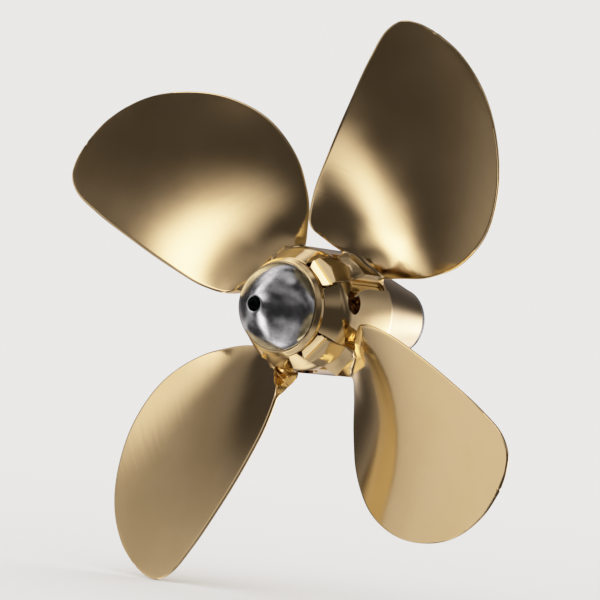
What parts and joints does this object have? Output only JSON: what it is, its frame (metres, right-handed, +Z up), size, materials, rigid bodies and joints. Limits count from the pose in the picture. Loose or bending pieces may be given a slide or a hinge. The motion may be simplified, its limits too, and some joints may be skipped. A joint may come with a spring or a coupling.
{
  "type": "folding ship propeller",
  "caption": "Folding bronze propeller with broad helical blades hinged on a slotted hub, a splined shaft bore and a domed anode.",
  "frame": {"origin": "on the shaft axis at the forward face of the hub, where the shaft enters", "axes": "+Y forward along the shaft, -Y aft to the anode's nose, +Z up, +X to starboard; a blade stands at 45 degrees in each quadrant"},
  "size_m": [0.4156, 0.1801, 0.4156],
  "materials": {
    "bronze": "turned and polished nickel aluminium bronze",
    "blade_bronze": "belt-ground nickel aluminium bronze, satin",
    "dark_bronze": "dark unpolished bronze",
    "anode_metal": "turned sacrificial anode alloy, smooth grey",
    "steel": "stainless steel"
  },
  "bodies": {
    "hub_body": {"hub": "bronze", "anode_carrier": "bronze", "anode": "anode_metal", "anode_screw": "steel", "splined_sleeve": "steel", "hinge_pin_1": "steel", "pin_plug_1": "dark_bronze", "hinge_pin_2": "steel", "pin_plug_2": "dark_bronze", "hinge_pin_3": "steel", "pin_plug_3": "dark_bronze", "hinge_pin_4": "steel", "pin_plug_4": "dark_bronze"},
    "blade_1_body": {"blade_1": "blade_bronze"},
    "blade_2_body": {"blade_2": "blade_bronze"},
    "blade_3_body": {"blade_3": "blade_bronze"},
    "blade_4_body": {"blade_4": "blade_bronze"}
  },
  "joints": [
    {"name": "blade_1_fold", "type": "hinge", "parent": "hub_body", "child": "blade_1_body", "pos_m": [0.01817, -0.116, 0.01817], "axis": [0.7071, 0, -0.7071], "range_deg": [0, 67]},
    {"name": "blade_2_fold", "type": "hinge", "parent": "hub_body", "child": "blade_2_body", "pos_m": [-0.01817, -0.116, 0.01817], "axis": [0.7071, 0, 0.7071], "range_deg": [0, 67]},
    {"name": "blade_3_fold", "type": "hinge", "parent": "hub_body", "child": "blade_3_body", "pos_m": [-0.01817, -0.116, -0.01817], "axis": [-0.7071, 0, 0.7071], "range_deg": [0, 67]},
    {"name": "blade_4_fold", "type": "hinge", "parent": "hub_body", "child": "blade_4_body", "pos_m": [0.01817, -0.116, -0.01817], "axis": [-0.7071, 0, -0.7071], "range_deg": [0, 67]}
  ],
  "couplings": [
    {"joint": "blade_2_fold", "follows": "blade_1_fold", "ratio": 1},
    {"joint": "blade_3_fold", "follows": "blade_1_fold", "ratio": 1},
    {"joint": "blade_4_fold", "follows": "blade_1_fold", "ratio": 1}
  ]
}
